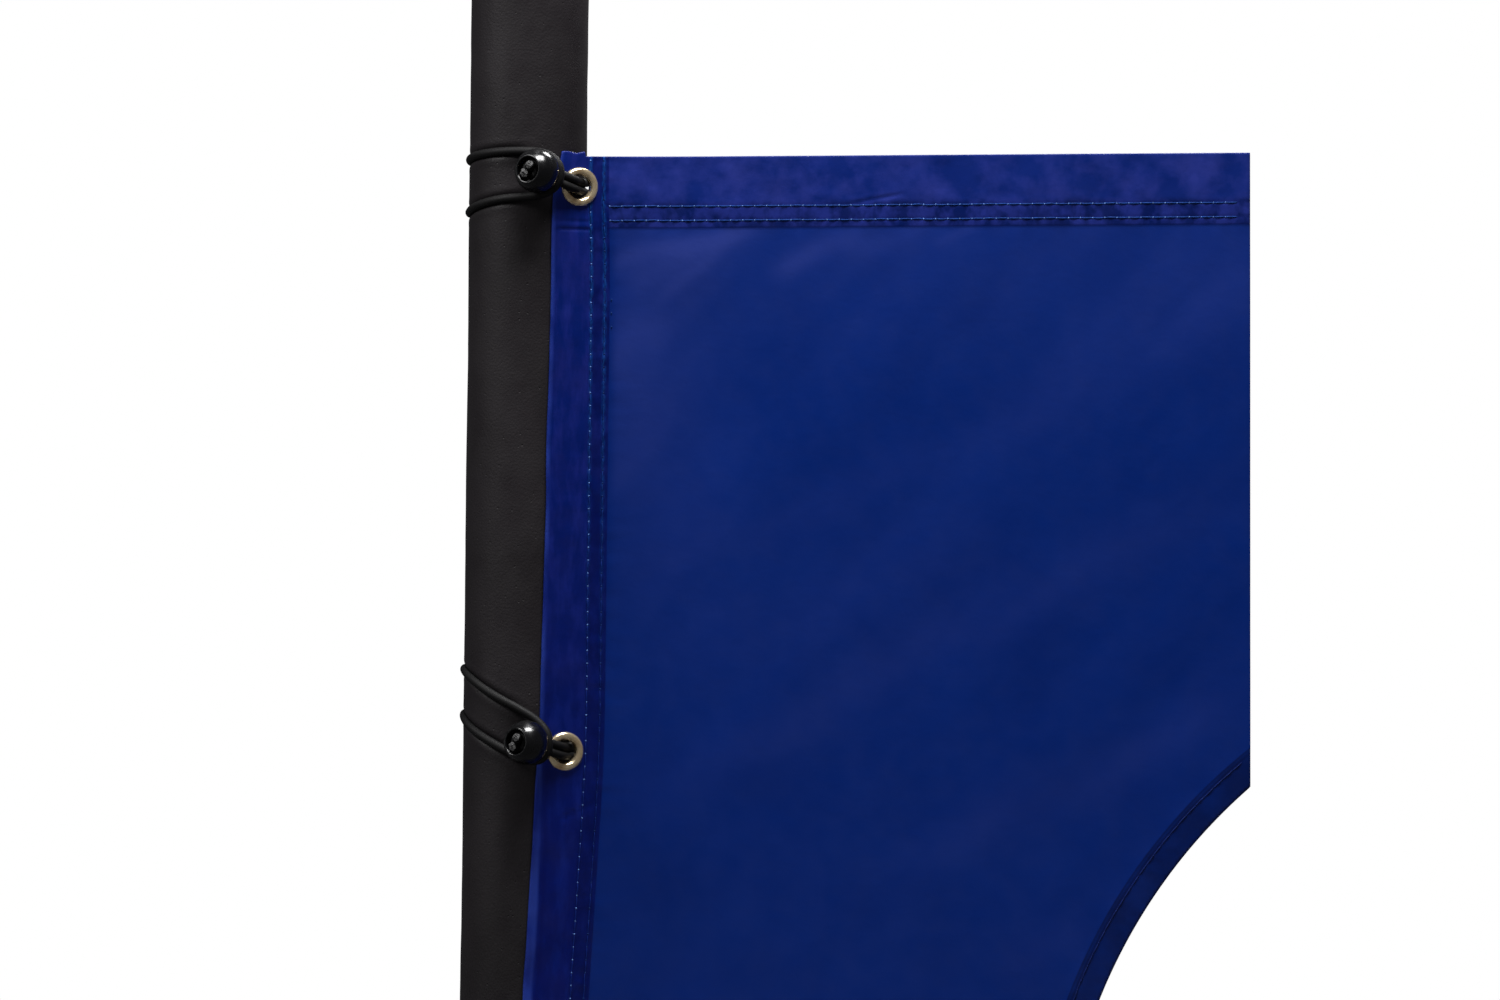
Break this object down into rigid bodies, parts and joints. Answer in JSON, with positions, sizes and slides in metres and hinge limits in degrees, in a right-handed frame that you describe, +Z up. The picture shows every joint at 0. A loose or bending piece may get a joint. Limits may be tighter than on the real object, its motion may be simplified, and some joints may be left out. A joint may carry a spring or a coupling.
{
  "type": "ball bungee sheet fixing on padded post",
  "caption": "Foam-sleeved steel post with the hemmed corner of a coated-fabric target sheet tied to it by ball-and-loop elastic ties through brass eyelets.",
  "frame": {"origin": "on the post's axis, halfway along the spigot at its lower end", "axes": "+Z up the post's axis, +X to the right along the sheet, +Y away from the side that the balls are on"},
  "size_m": [0.4207, 0.0916, 0.671],
  "materials": {
    "post_steel": "galvanised tube, dull",
    "cap_plastic": "moulded, fine texture",
    "foam": null,
    "coated_fabric": "blue coated woven fabric, soft sheen",
    "thread": "sewing thread",
    "brass": "polished, stamped",
    "ball_plastic": "glossy moulded",
    "cord": "braided jacket over a rubber core"
  },
  "bodies": {
    "post": {"post_tube": "post_steel", "top_cap": "cap_plastic"},
    "sleeve": {"foam_sleeve": "foam", "sheet_panel": "coated_fabric", "side_hem": "coated_fabric", "top_hem": "coated_fabric", "hole_hem": "coated_fabric", "side_first_thread": "thread", "side_second_thread": "thread", "top_first_thread": "thread", "top_second_thread": "thread", "hole_thread": "thread", "eyelet_upper": "brass", "eyelet_lower": "brass", "washer_upper": "brass", "washer_lower": "brass", "knot_upper": "cord", "knot_lower": "cord", "cord_upper": "cord", "cord_lower": "cord"},
    "ball_upper": {"ball_upper": "ball_plastic"},
    "ball_lower": {"ball_lower": "ball_plastic"}
  },
  "joints": [
    {"name": "sleeve_turn", "type": "hinge", "parent": "post", "child": "sleeve", "pos_m": [0, 0, 0.34], "axis": [0, 0, 1], "range_deg": [-90, 90]},
    {"name": "ball_upper_turn", "type": "hinge", "parent": "sleeve", "child": "ball_upper", "pos_m": [0.0054, -0.0452, 0.5139], "axis": [-0.543, -0.8361, 0.0785], "continuous": true},
    {"name": "ball_lower_turn", "type": "hinge", "parent": "sleeve", "child": "ball_lower", "pos_m": [0.0031, -0.0466, 0.2119], "axis": [-0.6148, -0.7869, 0.0523], "continuous": true}
  ]
}
